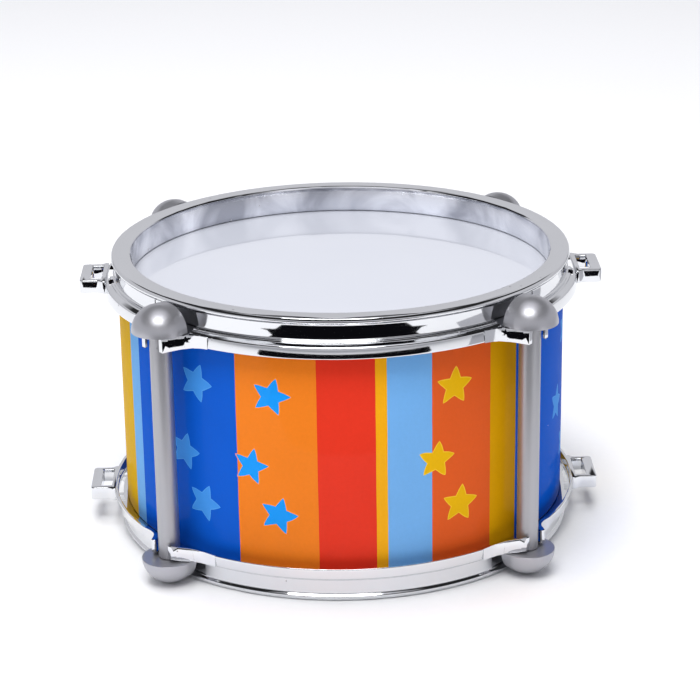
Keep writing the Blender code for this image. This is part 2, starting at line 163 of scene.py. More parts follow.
def maths(tree, operation, *values):
    inputs = {"i%d" % i: value for i, value in enumerate(values)}
    return node(tree, "ShaderNodeMath", {"operation": operation}, **inputs).outputs[0]


def plus(tree, first, second):
    return maths(tree, "ADD", first, second)


def minus(tree, first, second):
    return maths(tree, "SUBTRACT", first, second)


def times(tree, first, second):
    return maths(tree, "MULTIPLY", first, second)


def below(tree, value, limit):
    """A mask: 1 where the value is below the limit, else 0."""
    return maths(tree, "LESS_THAN", value, limit)


def scaled(tree, value, factor, base):
    return maths(tree, "MULTIPLY_ADD", value, factor, base)


def vector_maths(tree, operation, *values, give="Vector"):
    inputs = {"i%d" % i: value for i, value in enumerate(values)}
    return node(tree, "ShaderNodeVectorMath", {"operation": operation}, **inputs).outputs[give]


def object_place(tree):
    """Where a point is in the drum's own axes, in metres."""
    return node(tree, "ShaderNodeTexCoord").outputs["Object"]


def colour_ramp(tree, share, stops, interpolation="LINEAR"):
    """The colour that a share from 0 to 1 picks between (position, colour) stops."""
    made = node(tree, "ShaderNodeValToRGB", Fac=share)
    made.color_ramp.interpolation = interpolation
    for index, (position, colour) in enumerate(stops):
        stop = made.color_ramp.elements[index] if index < 2 else made.color_ramp.elements.new(position)
        stop.position, stop.color = position, (*colour, 1)
    return made.outputs["Color"]


def blend_colours(tree, share, first, second):
    made = tree.nodes.new("ShaderNodeMix")
    made.data_type = "RGBA"
    plug(tree, share, made.inputs["Factor"])
    for socket, value in zip([s for s in made.inputs if s.type == "RGBA"], (first, second)):
        plug(tree, value if isinstance(value, bpy.types.NodeSocket) else (*value, 1), socket)
    return next(s for s in made.outputs if s.type == "RGBA")


def finish(name, **sockets):
    """A material with a Principled shader, whose plain values are set on its own sockets."""
    made = bpy.data.materials.new(name)
    made.use_nodes = True
    shader = made.node_tree.nodes["Principled BSDF"]
    for key, value in sockets.items():
        shader.inputs[key.replace("_", " ")].default_value = value
    return made, made.node_tree, shader


def effect(name, inputs, outputs):
    """A shader node group with named number inputs and named outputs. It returns the tree and both end nodes."""
    tree = bpy.data.node_groups.new(name, "ShaderNodeTree")
    for key, value in inputs.items():
        tree.interface.new_socket(key, in_out="INPUT", socket_type="NodeSocketFloat").default_value = value
    for key, kind in outputs.items():
        tree.interface.new_socket(key, in_out="OUTPUT", socket_type="NodeSocket" + kind)
    return tree, tree.nodes.new("NodeGroupInput").outputs, tree.nodes.new("NodeGroupOutput").inputs


def use(tree, group, **inputs):
    """Places a shader node group in a tree, with its own values."""
    made = tree.nodes.new("ShaderNodeGroup")
    made.node_tree = group
    for key, value in inputs.items():
        plug(tree, value, made.inputs[key.replace("_", " ")])
    return made.outputs


def bumped(tree, shader, height, strength, distance):
    """Feeds a height into the shader's normal."""
    bump = node(tree, "ShaderNodeBump", Strength=strength, Distance=distance, Height=height)
    tree.links.new(bump.outputs["Normal"], shader.inputs["Normal"])


# %% [markdown]
# ## Shared surface effects
# Three things happen to nearly every surface of a toy that has been handled. It has a fine grain from its paint
# or its mould. It has hairline scratches, each of them short and straight. And it has small specks where dust sat
# under the paint or the plating. Each is a node group that gives out heights and masks, so that
# plating, paint and print can all use it with their own sizes.

# %% Grain
grain, into, out = effect("grain", {"Scale": 900.0, "Detail": 3.0}, {"Height": "Float", "Cloud": "Float"})
spot = object_place(grain)
fine = node(grain, "ShaderNodeTexNoise", Vector=spot, Scale=into["Scale"], Detail=into["Detail"], Roughness=0.6)
slow = node(grain, "ShaderNodeTexNoise", Vector=spot, Scale=18.0, Detail=2.0)
plug(grain, fine.outputs[0], out["Height"])
plug(grain, slow.outputs[0], out["Cloud"])

# %% Hairline scratches
scratches, into, out = effect(
    "scratches", {"Scale": 60.0, "Width": 0.00004, "Length": 0.004, "Share": 0.3}, {"Mask": "Float"}
)
spot = object_place(scratches)
marks = []
for shift in (0.0, 0.37):
    moved = vector_maths(scratches, "ADD", spot, (shift, shift, shift))
    cells = node(scratches, "ShaderNodeTexVoronoi", Vector=moved, Scale=into["Scale"]).outputs
    offset = vector_maths(scratches, "SUBTRACT", moved, cells["Position"])
    lean = vector_maths(scratches, "SUBTRACT", cells["Color"], (0.5, 0.5, 0.5))
    heading = vector_maths(scratches, "NORMALIZE", lean)
    away = vector_maths(scratches, "CROSS_PRODUCT", offset, heading)
    distance = vector_maths(scratches, "LENGTH", away, give="Value")
    reach = vector_maths(scratches, "DOT_PRODUCT", offset, heading, give="Value")
    thin = below(scratches, distance, into["Width"])
    short = below(scratches, maths(scratches, "ABSOLUTE", reach), into["Length"])
    chance = node(scratches, "ShaderNodeSeparateColor", Color=cells["Color"]).outputs[1]
    pick = maths(scratches, "FRACT", times(scratches, chance, 7.3))
    picked = below(scratches, pick, into["Share"])
    marks.append(times(scratches, times(scratches, thin, short), picked))
plug(scratches, maths(scratches, "MAXIMUM", *marks), out["Mask"])

# %% Specks and all three together
specks, into, out = effect("specks", {"Scale": 160.0, "Size": 0.12, "Share": 0.2}, {"Mask": "Float"})
spot = object_place(specks)
cells = node(specks, "ShaderNodeTexVoronoi", Vector=spot, Scale=into["Scale"])
chosen = node(specks, "ShaderNodeSeparateColor", Color=cells.outputs["Color"])
near = below(specks, cells.outputs["Distance"], into["Size"])
picked = below(specks, chosen.outputs[0], into["Share"])
plug(specks, times(specks, near, picked), out["Mask"])


def handled(tree, grain_sizes, scratch_sizes, speck_sizes=None):
    """The grain, the hairlines and the specks of a handled surface, each from its (scale, ...) sizes."""
    surface = use(tree, grain, **dict(zip(("Scale", "Detail"), grain_sizes)))
    hair = use(tree, scratches, **dict(zip(("Scale", "Width", "Length", "Share"), scratch_sizes)))["Mask"]
    if speck_sizes is None:
        return surface, hair
    return surface, hair, use(tree, specks, **dict(zip(("Scale", "Size", "Share"), speck_sizes)))["Mask"]


print("effects:", [g.name for g in bpy.data.node_groups])

# %% [markdown]
# ## Chrome plating on moulded plastic
# Plated plastic is a mirror, but never as flat as polished metal: the moulding under it ripples a little, and
# tiny pits show as specks. The ripple is a slow bump, the specks and hairlines a fine one. The mirror itself is
# a metallic Principled shader with a low roughness, which rises where the plating has been rubbed.
# Inside the rim the base colour has dark clouds and pale patches: painted shade and painted highlights in the
# recess.

# %% Plating
plated, tree, shader = finish("plated_chrome", Metallic=1.0)
surface, hair, pits = handled(tree, (260.0, 4.0), (110.0, 0.00004, 0.003, 0.16), (210.0, 0.10, 0.14))
tone = blend_colours(tree, surface["Cloud"], (0.68, 0.69, 0.71), (0.76, 0.77, 0.79))
spot = object_place(tree)
from_axis = vector_maths(tree, "LENGTH", vector_maths(tree, "MULTIPLY", spot, (1, 1, 0)), give="Value")
# Painted shade and painted highlights: inside the rim the base colour turns to dark and pale clouds.
painted_recess_mask = below(tree, from_axis, rim_inside + 0.35 * MM)
recess_shade_noise = node(tree, "ShaderNodeTexNoise", Vector=spot, Scale=26.0, Detail=4.0, Distortion=1.2)
painted_recess_shade_and_highlights = colour_ramp(tree, recess_shade_noise.outputs[0], ((0.36, (0.40, 0.41, 0.45)), (0.66, (0.95, 0.96, 1.0))))
tone = blend_colours(tree, painted_recess_mask, tone, painted_recess_shade_and_highlights)
plug(tree, blend_colours(tree, pits, tone, (0.60, 0.60, 0.62)), shader.inputs["Base Color"])
rubbed = scaled(tree, surface["Cloud"], 0.06, 0.03)
marked = maths(tree, "MAXIMUM", times(tree, hair, 0.25), times(tree, pits, 0.5))
plug(tree, plus(tree, marked, rubbed), shader.inputs["Roughness"])
ripple = node(tree, "ShaderNodeTexNoise", Vector=spot, Scale=34.0)
low = scaled(tree, ripple.outputs[0], 1.6, times(tree, surface["Height"], 0.05))
relief = minus(tree, minus(tree, low, times(tree, pits, 0.25)), hair)
bumped(tree, shader, relief, 0.22, 0.0002)

# %% [markdown]
# ## Silver paint
# The domes and columns are moulded in grey plastic and sprayed with a satin silver paint. The paint's fine
# metal flakes make it mostly metallic, with a broad soft highlight and a very fine orange-peel grain.

# %% Silver paint


def silver_paint(name, base, roughness, streak):
    """Satin silver paint, with faint upright streaks where the piece was drawn or wiped."""
    made, tree, shader = finish(name, Metallic=0.8, Specular_IOR_Level=0.5)
    surface, hair, marks = handled(tree, (1500.0, 3.0), (120.0, 0.00005, 0.003, 0.12), (260.0, 0.13, 0.06))
    laid = node(tree, "ShaderNodeMapping", Vector=object_place(tree), Scale=(420.0, 420.0, 9.0))
    lines = node(tree, "ShaderNodeTexNoise", Vector=laid.outputs[0], Scale=1.0, Detail=2.0)
    dark, light = [c * 0.90 for c in base], [min(1, c * 1.10) for c in base]
    cloud = times(tree, surface["Cloud"], 1 - streak)
    share = scaled(tree, lines.outputs[0], streak, cloud)
    tone = blend_colours(tree, share, dark, light)
    tone = blend_colours(tree, times(tree, marks, 0.5), tone, [c * 0.55 for c in base])
    plug(tree, tone, shader.inputs["Base Color"])
    rough = scaled(tree, surface["Cloud"], 0.10, roughness - 0.05)
    plug(tree, scaled(tree, hair, 0.12, rough), shader.inputs["Roughness"])
    bumped(tree, shader, minus(tree, surface["Height"], hair), 0.10, 0.0001)
    return made


dome_paint = silver_paint("dome_silver_paint", (0.46, 0.46, 0.49), 0.37, 0.1)
column_paint = silver_paint("column_silver_paint", (0.42, 0.42, 0.44), 0.42, 0.7)

# %% [markdown]
# ## The printed shell
# The shell is a sheet printed with upright stripes and hand-cut stars, rolled into a tube under a clear gloss
# coat. A pattern like that could be an image, but it's so regular that arithmetic draws it more sharply. The
# angle round the drum, from an arctangent, picks the stripe on a colour ramp with hard steps. The sheet repeats
# itself every half turn, so the ramp covers 180 degrees. A little noise keeps each edge from being ruler-straight.

# %% Where a point is on the printed sheet
START = -90.4  # the angle where the repeat begins: 0 is the front, and it grows towards +X
HALF_TURN = 180.0
STRIPES = (
    (-90.4, (0.680, 0.401, 0.011)),  # yellow
    (-68.7, (0.172, 0.424, 0.789)),  # light blue
    (-63.0, (0.005, 0.102, 0.580)),  # blue
    (-28.45, (0.857, 0.215, 0.018)),  # orange
    (-7.8, (0.761, 0.041, 0.019)),  # red
    (6.6, (0.871, 0.407, 0.011)),  # yellow
    (8.8, (0.172, 0.424, 0.789)),  # light blue
    (20.1, (0.730, 0.107, 0.018)),  # rust
    (37.07, (0.677, 0.337, 0.003)),  # yellow
    (46.3, (0.005, 0.102, 0.580)),  # blue
)
printed, tree, shader = finish(
    "printed_shell", Coat_Weight=0.10, Coat_Roughness=0.03, Coat_IOR=1.5, Specular_IOR_Level=0.0
)
spot = object_place(tree)
axes = node(tree, "ShaderNodeSeparateXYZ", Vector=spot).outputs
bearing = maths(tree, "ARCTAN2", axes["X"], times(tree, axes["Y"], -1.0))
turn = times(tree, bearing, HALF_TURN / math.pi)
across = maths(tree, "FLOORED_MODULO", minus(tree, turn, START), HALF_TURN)
wobble = node(tree, "ShaderNodeTexNoise", Vector=spot, Scale=60.0, Detail=1.0)
edge_shift = scaled(tree, wobble.outputs[0], 0.16, -0.08)
share = maths(tree, "DIVIDE", plus(tree, across, edge_shift), HALF_TURN)
ink = colour_ramp(tree, share, [((angle - START) / HALF_TURN, colour) for angle, colour in STRIPES], "CONSTANT")
print("stripes:", len(STRIPES), "to each half turn")

# %% [markdown]
# ## One star
# A star is five arms folded onto one: the angle round its centre is wrapped to a tenth of a turn, and there the
# edge is a straight line from a tip to a notch. A little extra taken off far from the centre rounds the tips, as
# scissors do. The group gives out how far outside the edge a point is, so one star can have two outlines: a
# colour inside the edge, and a thin line of another colour round it.

# %% One star
NOTCH = 0.43  # a notch's distance from the centre, as a share of a tip's
BLUNT_POWER, BLUNTING = 7.0, 0.20
SHEET_MM_PER_DEGREE = 1.7855
edge = (NOTCH * math.cos(math.pi / 5) - 1, NOTCH * math.sin(math.pi / 5))
length = math.hypot(*edge)
star_inputs = {"Across": 0.0, "Height": 0.0, "Middle": 0.0, "Level": 0.0, "Size": 8.0, "Turn": 0.0}
star, into, out = effect("star", star_inputs, {"Outside": "Float"})
sideways = times(star, minus(star, into["Across"], into["Middle"]), SHEET_MM_PER_DEGREE)
x = maths(star, "DIVIDE", sideways, into["Size"])
y = maths(star, "DIVIDE", minus(star, into["Height"], into["Level"]), into["Size"])
far = maths(star, "SQRT", plus(star, times(star, x, x), times(star, y, y)))
bearing = plus(star, maths(star, "ARCTAN2", x, y), into["Turn"])
folded = maths(star, "ABSOLUTE", maths(star, "WRAP", bearing, math.pi / 5, -math.pi / 5))
along = times(star, maths(star, "COSINE", folded), edge[1] / length)
beside = times(star, maths(star, "SINE", folded), -edge[0] / length)
line = times(star, far, plus(star, along, beside))
blunt = times(star, maths(star, "POWER", far, BLUNT_POWER), BLUNTING)
plug(star, minus(star, plus(star, line, blunt), edge[1] / length), out["Outside"])

# %% [markdown]
# ## Stars on the sheet
# Each star has its place on the sheet in degrees and millimetres, its size, its turn, and its colour. They were
# cut by hand, so no two are quite alike. The middle ones lean over the edge of their stripe, which is why the
# stars are laid on top of the ramp. Each is laid twice: first whole in its outline's colour, then a little
# smaller in its own.

# %% Stars on the sheet
SKY = ((0.058, 0.296, 0.776), (0.090, 0.370, 0.830))
BRIGHT = ((0.013, 0.314, 0.888), (0.990, 0.290, 0.030))
GOLD = ((0.807, 0.456, 0.004), (0.905, 0.604, 0.036))
OUTLINE = 0.035  # width of the outline as a share of a star's size
STARS = (
    (-39.4, 93.6, 10.8, -0.33, SKY),
    (-44.0, 60.0, 10.6, -0.25, SKY),
    (-38.0, 38.0, 10.7, -0.36, SKY),
    (-18.6, 93.0, 11.1, -0.26, BRIGHT),
    (-24.2, 59.9, 10.7, -0.22, BRIGHT),
    (-17.4, 38.1, 11.0, -0.27, BRIGHT),
    (26.8, 93.9, 10.8, -0.09, GOLD),
    (21.9, 61.3, 10.6, -0.13, GOLD),
    (28.4, 38.7, 10.8, -0.14, GOLD),
    (79.5, 94.0, 10.7, -0.30, SKY),
    (71.2, 62.6, 10.6, -0.24, SKY),
    (80.0, 38.5, 10.7, -0.32, SKY),
)
level = times(tree, axes["Z"], 1000.0)
warp = node(tree, "ShaderNodeTexNoise", Vector=spot, Scale=130.0, Detail=1.0)
level = plus(tree, level, scaled(tree, warp.outputs[0], 1.2, -0.6))
sheet_across = plus(tree, across, scaled(tree, wobble.outputs[0], 0.8, -0.4))
for angle, height, size, lean, (colour, outline) in STARS:
    star_here = {"Across": sheet_across, "Height": level, "Middle": angle - START, "Level": height}
    outside = use(tree, star, **star_here, Size=size, Turn=lean)["Outside"]
    ink = blend_colours(tree, below(tree, outside, 0.0), ink, outline)
    ink = blend_colours(tree, below(tree, outside, -OUTLINE), ink, colour)
print("stars:", len(STARS), "to each half turn")

# %% [markdown]
# ## Ink, coat and seam
# Ink is never quite even: it is a touch thinner in clouds and along the grain of the sheet. The clear coat on
# top carries the reflections, with a few hairlines. At the back, the end of the sheet laps over its beginning.

# %% Ink, coat and seam
LAP_ANGLE, LAP_WIDTH = 179.6, 0.10  # in degrees
surface, hair, dust = handled(tree, (700.0, 3.0), (45.0, 0.00005, 0.006, 0.20), (120.0, 0.06, 0.10))
thin = scaled(tree, surface["Cloud"], 0.22, times(tree, surface["Height"], 0.10))
tint = node(tree, "ShaderNodeHueSaturation", Color=ink, Saturation=1.0, Value=plus(tree, thin, 0.86))
from_lap = minus(tree, maths(tree, "ABSOLUTE", turn), LAP_ANGLE)
lap = below(tree, maths(tree, "ABSOLUTE", from_lap), LAP_WIDTH)
paint = blend_colours(tree, times(tree, lap, 0.7), tint.outputs[0], (0.02, 0.02, 0.03))
paint = blend_colours(tree, times(tree, dust, 0.6), paint, (0.8, 0.8, 0.8))
plug(tree, paint, shader.inputs["Base Color"])
plug(tree, scaled(tree, hair, 0.2, 0.26), shader.inputs["Roughness"])
sheen = times(tree, surface["Cloud"], 1.2)
coat = plus(tree, sheen, times(tree, surface["Height"], 0.05))
bumped(tree, shader, minus(tree, coat, times(tree, hair, 0.3)), 0.12, 0.0002)

# %% [markdown]
# ## Skins, steel and wire
# The skins are white film, cloudy and glossy. The screws and nuts are zinc-plated steel, the snare plates plain
# pressed sheet with the fine lines of the rolling mill, and the snares drawn wire.

# %% Skins
skin, tree, shader = finish("white_film", Coat_Weight=1.0, Coat_Roughness=0.03, Coat_IOR=1.7)
surface, hair, dust = handled(tree, (500.0, 4.0), (30.0, 0.00006, 0.012, 0.20), (70.0, 0.035, 0.08))
cloud = blend_colours(tree, surface["Cloud"], (0.555, 0.575, 0.645), (0.59, 0.61, 0.675))
cloud = blend_colours(tree, times(tree, dust, 0.7), cloud, (0.25, 0.24, 0.24))
plug(tree, cloud, shader.inputs["Base Color"])
plug(tree, scaled(tree, hair, 0.25, 0.14), shader.inputs["Roughness"])
bumped(tree, shader, scaled(tree, surface["Cloud"], 2.0, surface["Height"]), 0.08, 0.0001)

# %% White plastic rings and steel


def plain_finish(name, base, roughness, metallic, grain_scale, lines_scale, relief):
    """Moulded plastic or steel, with its grain, its lines of working and its hairlines."""
    made, tree, shader = finish(name, Metallic=metallic)
    surface, hair = handled(tree, (grain_scale, 3.0), (200.0, 0.00003, 0.002, 0.25))
    laid = node(tree, "ShaderNodeMapping", Vector=object_place(tree), Scale=lines_scale)
    lines = node(tree, "ShaderNodeTexNoise", Vector=laid.outputs[0], Scale=1.0, Detail=3.0)
    share = scaled(tree, surface["Cloud"], 0.5, times(tree, lines.outputs[0], 0.5))
    tone = blend_colours(tree, share, [c * 0.80 for c in base], [min(1, c * 1.15) for c in base])
    plug(tree, tone, shader.inputs["Base Color"])
    rough = scaled(tree, lines.outputs[0], 0.16, roughness - 0.08)
    plug(tree, scaled(tree, hair, 0.12, rough), shader.inputs["Roughness"])
    height = plus(tree, lines.outputs[0], times(tree, surface["Height"], 0.5))
    bumped(tree, shader, minus(tree, height, hair), relief, 0.0001)
    return made


ring_plastic = plain_finish("white_ring_plastic", (0.76, 0.76, 0.77), 0.42, 0.0, 900.0, (40, 40, 400), 0.15)
zinc = plain_finish("zinc_plated_steel", (0.60, 0.61, 0.62), 0.28, 1.0, 1200.0, (300, 300, 60), 0.15)
sheet_steel = plain_finish("rolled_sheet_steel", (0.55, 0.55, 0.56), 0.30, 1.0, 900.0, (12, 1400, 400), 0.25)
drawn_wire = plain_finish("drawn_wire", (0.66, 0.66, 0.67), 0.20, 1.0, 1500.0, (60, 1500, 1500), 0.15)
finishes = (plated, dome_paint, column_paint, printed, skin, ring_plastic, zinc, sheet_steel, drawn_wire)
print("finishes:", [made.name for made in finishes])

# %% [markdown]
# ## Helpers for shapes
# The drum's mouldings are turned, extruded and cut shapes. These helpers make a solid from an outline, join and
# cut solids with exact Booleans, round their edges, and hand a finished piece over to the frame.

# %% Helpers for shapes


def add(name, bm):
    """An object of this mesh, linked to the scene, with its faces turned outwards."""
    bmesh.ops.recalc_face_normals(bm, faces=bm.faces)
    mesh = bpy.data.meshes.new(name)
    bm.to_mesh(mesh)
    bm.free()
    return place_new(name, mesh)


def prism(outline, low, high):
    """The closed outline of (x, y) points extruded from one height to another."""
    bm = bmesh.new()
    face = bm.faces.new([bm.verts.new((x, y, low)) for x, y in outline])
    top = bmesh.ops.extrude_face_region(bm, geom=[face])["geom"]
    bmesh.ops.translate(bm, verts=[v for v in top if isinstance(v, bmesh.types.BMVert)], vec=(0, 0, high - low))
    return bm


def rod(radius, low, high, segments=48, x=0.0):
    """A solid cylinder along Z, used as a drill."""
    bm = bmesh.new()
    centre = Matrix.Translation((x, 0, (low + high) / 2))
    bmesh.ops.create_cone(
        bm, cap_ends=True, segments=segments, radius1=radius, radius2=radius, depth=high - low, matrix=centre
    )
    return bm


def block(low, high):
    """A box between two corners."""
    middle = (Vector(low) + Vector(high)) / 2
    sides = Vector(high) - Vector(low)
    bm = bmesh.new()
    bmesh.ops.create_cube(bm, size=1.0, matrix=Matrix.Translation(middle) @ Matrix.Diagonal((*sides, 1)))
    return bm


def plain_mesh(target):
    """What an object's modifiers make of it, as a mesh of its own; the modifiers are then removed."""
    made = bpy.data.meshes.new_from_object(target.evaluated_get(bpy.context.evaluated_depsgraph_get()))
    target.modifiers.clear()
    return made


def combine(target, tool, operation):
    """Applies one exact Boolean and deletes the tool."""
    step = target.modifiers.new("combine", "BOOLEAN")
    step.operation, step.solver, step.object = operation, "EXACT", tool
    target.data = plain_mesh(target)
    bpy.data.objects.remove(tool)


def rounded(target, width, steps=2, angle=35, beyond=0.0, clamp=True):
    """Rounds the edges that are sharper than an angle and lie beyond a distance from the axis."""
    bm = bmesh.new()
    bm.from_mesh(target.data)
    bmesh.ops.remove_doubles(bm, verts=bm.verts, dist=2e-6)
    bmesh.ops.holes_fill(bm, edges=[e for e in bm.edges if e.is_boundary], sides=4)
    bmesh.ops.dissolve_limit(bm, angle_limit=math.radians(1), verts=bm.verts, edges=bm.edges)
    outside = [e for e in bm.edges if len(e.link_faces) == 2 and min(v.co.xy.length for v in e.verts) >= beyond]
    sharp = [e for e in outside if e.calc_face_angle(0) > math.radians(angle)]
    bmesh.ops.bevel(
        bm, geom=sharp, offset=width, offset_type="OFFSET", segments=steps, profile=0.5, affect="EDGES",
        clamp_overlap=clamp, miter_outer="ARC",
    )
    bm.to_mesh(target.data)
    bm.free()


def smooth(target, angle=32):
    """Smooth shading, with edges sharper than the angle kept sharp."""
    target.data.shade_smooth()
    target.data.set_sharp_from_angle(angle=math.radians(angle))


def hand_over(piece, material, body, nodes):
    """Gives a finished piece its material, its body and the nodes it stands for."""
    piece.data.materials.clear()
    piece.data.materials.append(material)
    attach(piece, body)
    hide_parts(*nodes)


def copied(name, source, place=Matrix.Identity(4)):
    """A second piece with its own copy of the mesh, moved by a matrix."""
    made = place_new(name, source.data.copy())
    made.data.transform(place)
    return made


# %% [markdown]
# ## Geometry Nodes: one tree for what is turned, one for what is coiled, one for what repeats round the axis
# A ring of any section is its outline carried round a circle, so one tree turns the hoops, the shell and the
# rings that hold the skins. A spiral given a round section is a coil, which makes both the snares and the
# screws' threads. And the four lugs are one lug stamped four times, each a quarter turn further round the
# axis. Each tree is run on an object and only its plain mesh is kept.

# %% Building and running a tree


def growing_tree(name, inputs):
    """An empty Geometry Nodes tree with named inputs, its two end nodes, and a closing Realize and Set Material."""
    tree = bpy.data.node_groups.new(name, "GeometryNodeTree")
    tree.interface.new_socket("Geometry", in_out="INPUT", socket_type="NodeSocketGeometry")
    for key, kind in inputs.items():
        tree.interface.new_socket(key, in_out="INPUT", socket_type="NodeSocket" + kind)
    tree.interface.new_socket("Material", in_out="INPUT", socket_type="NodeSocketMaterial")
    tree.interface.new_socket("Geometry", in_out="OUTPUT", socket_type="NodeSocketGeometry")
    into = tree.nodes.new("NodeGroupInput").outputs
    realized = tree.nodes.new("GeometryNodeRealizeInstances")
    painted = node(tree, "GeometryNodeSetMaterial", Geometry=realized.outputs[0], Material=into["Material"])
    tree.links.new(painted.outputs[0], tree.nodes.new("NodeGroupOutput").inputs[0])
    return tree, into, realized.inputs[0]


def grow(target, tree, **values):
    """Runs a tree on an object and keeps the result as its plain mesh."""
    step = target.modifiers.new(tree.name, "NODES")
    step.node_group = tree
    for item in tree.interface.items_tree:
        if item.in_out == "INPUT" and item.name.replace(" ", "_") in values:
            step[item.identifier] = values[item.name.replace(" ", "_")]
    made = plain_mesh(target)
    bm = bmesh.new()
    bm.from_mesh(made)
    bmesh.ops.remove_doubles(bm, verts=bm.verts, dist=1e-6)
    bmesh.ops.recalc_face_normals(bm, faces=bm.faces)
    bm.to_mesh(made)
    bm.free()
    target.data = made
    return target


def outline_object(name, points):
    """A closed outline of (radius, height) points, laid flat as a section for sweeping."""
    mesh = bpy.data.meshes.new(name)
    ends = [(i, (i + 1) % len(points)) for i in range(len(points))]
    mesh.from_pydata([(radius, -height, 0) for radius, height in points], ends, [])
    return place_new(name, mesh)


# %% The three trees
turning, into, result = growing_tree("turn_section", {"Sweep Radius": "Float", "Segments": "Int"})
section = node(turning, "GeometryNodeMeshToCurve", Mesh=into["Geometry"])
path = node(turning, "GeometryNodeCurvePrimitiveCircle", Resolution=into["Segments"], Radius=into["Sweep Radius"])
swept = node(turning, "GeometryNodeCurveToMesh", Curve=path.outputs[0], Profile_Curve=section.outputs[0])
turning.links.new(swept.outputs[0], result)

coiling, into, result = growing_tree(
    "coil", {"Length": "Float", "Coil Radius": "Float", "Wire Radius": "Float", "Turns": "Float", "Steps": "Int"}
)
spiral = node(
    coiling, "GeometryNodeCurveSpiral", Resolution=into["Steps"], Rotations=into["Turns"],
    Start_Radius=into["Coil Radius"], End_Radius=into["Coil Radius"], Height=into["Length"],
)
wire_end = node(coiling, "GeometryNodeCurvePrimitiveCircle", Resolution=6, Radius=into["Wire Radius"])
wound = node(
    coiling, "GeometryNodeCurveToMesh", Curve=spiral.outputs[0], Profile_Curve=wire_end.outputs[0], Fill_Caps=True
)
coiling.links.new(wound.outputs[0], result)

repeating, into, result = growing_tree("repeat_round_axis", {"Count": "Int", "Start Angle": "Float"})
spots = node(repeating, "GeometryNodePoints", Count=into["Count"])
number = node(repeating, "GeometryNodeInputIndex").outputs[0]
share = maths(repeating, "DIVIDE", number, into["Count"])
angle = scaled(repeating, share, math.tau, into["Start Angle"])
facing = node(repeating, "ShaderNodeCombineXYZ", Z=angle)
stamped = node(
    repeating, "GeometryNodeInstanceOnPoints", Points=spots.outputs[0], Instance=into["Geometry"],
    Rotation=facing.outputs[0],
)
repeating.links.new(stamped.outputs[0], result)
print("trees:", [g.name for g in bpy.data.node_groups if g.bl_idname == "GeometryNodeTree"])

# %% [markdown]
# ## The hoop's ring
# The hoop is one moulding: a flat rim with a rolled edge, a plain wall, a flange with a thin ridge and a rounded
# border, and a short skirt that hangs outside the shell. Its section is drawn once as an outline. Where two
# lines of the outline meet, a small arc replaces the corner, because plating makes every edge a bright line.

# %% The hoop's ring


def softened(points, steps=3):
    """Replaces each corner of a closed outline of (x, y, radius) points by an arc of about that radius."""
    made = []
    for before, here, after in zip(points[-1:] + points[:-1], points, points[1:] + points[:1]):
        corner, radius = Vector(here[:2]), here[2]
        first, second = Vector(before[:2]) - corner, Vector(after[:2]) - corner
        reach = min(radius, first.length * 0.45, second.length * 0.45)
        if reach < 1e-5:
            made.append(tuple(corner))
            continue
        start, end = corner + first.normalized() * reach, corner + second.normalized() * reach
        for i in range(steps + 1):
            t = i / steps
            made.append(tuple(start * (1 - t) ** 2 + corner * 2 * t * (1 - t) + end * t**2))
    return made


def hoop_ring():
    """The hoop without its lugs and strap loops, lying rim down."""
    ridge = rim_radius + 0.4 * MM
    foot = skirt_radius - 0.6 * MM
    corners = [
        (rim_inside, head_depth - touch, 0.3), (rim_inside, 0.0, 1.2),
        (rim_radius - 1.0 * MM, 0.0, 0.4), (rim_radius - 0.6 * MM, 0.2 * MM, 0.3), (rim_radius, 1.2 * MM, 0.3),
        (rim_radius, 2.0 * MM, 0.4), (wall_outside + 0.1 * MM, 3.0 * MM, 0.5),
        (wall_outside, 9.6 * MM, 0.4), (wall_outside + 0.5 * MM, 10.0 * MM, 0.3),
        (ridge + 0.1 * MM, 10.0 * MM, 0.4), (ridge + 0.4 * MM, 10.7 * MM, 0.2),
        (foot - 0.4 * MM, 11.6 * MM, 0.4), (foot, 12.1 * MM, 0.3),
        (skirt_radius - 0.05 * MM, skirt_depth - 0.5 * MM, 0.4),
        (skirt_radius - 0.2 * MM, skirt_depth, 0.3), (skirt_radius - moulding + 0.1 * MM, skirt_depth, 0.4),
        (skirt_radius - moulding, head_depth + film, 0.5), (wall_outside - moulding, head_depth + film, 0.2),
        (wall_outside - moulding, moulding, 0.4), (rim_inside + moulding, moulding, 0.4),
        (rim_inside + moulding, head_depth - touch, 0.3),
    ]
    section = outline_object("hoop", softened([(x - rim_radius, y, r * MM) for x, y, r in corners]))
    return grow(section, turning, Sweep_Radius=rim_radius, Segments=288, Material=plated)


hoop = hoop_ring()
print("ring:", len(hoop.data.polygons), "faces")

# %% [markdown]
# ## Lugs
# At each column the skirt turns outwards in two arms that clasp the column, like a spring clip. The block that
# both arms enclose is cut from a sloping slab, then hollowed, and joined to the ring. Its edges are rounded
# last of all, because a Boolean on rounded edges would have to cut through many tiny faces. The dome sits in a
# notch in front of the wall, which leaves a flat on the wall behind it.

# %% Lugs
COLUMN_GRIP = 5.4 * MM
ARM = 2.1 * MM
PAD = 1.6 * MM
ROOT_HALF = 23 * MM  # from the lug's middle to where an arm leaves the skirt


def curve_through(points, steps=6):
    """A smooth open curve through (x, y) points."""
    made = []
    padded = [points[0]] + list(points) + [points[-1]]
    for a, b, c, d in zip(padded, padded[1:], padded[2:], padded[3:]):
        a, b, c, d = map(Vector, (a, b, c, d))
        for i in range(steps):
            t = i / steps
            bend, twist = 2 * a - 5 * b + 4 * c - d, 3 * b - a - 3 * c + d
            made.append(tuple(0.5 * (2 * b + (c - a) * t + bend * t**2 + twist * t**3)))
    return made + [tuple(points[-1])]


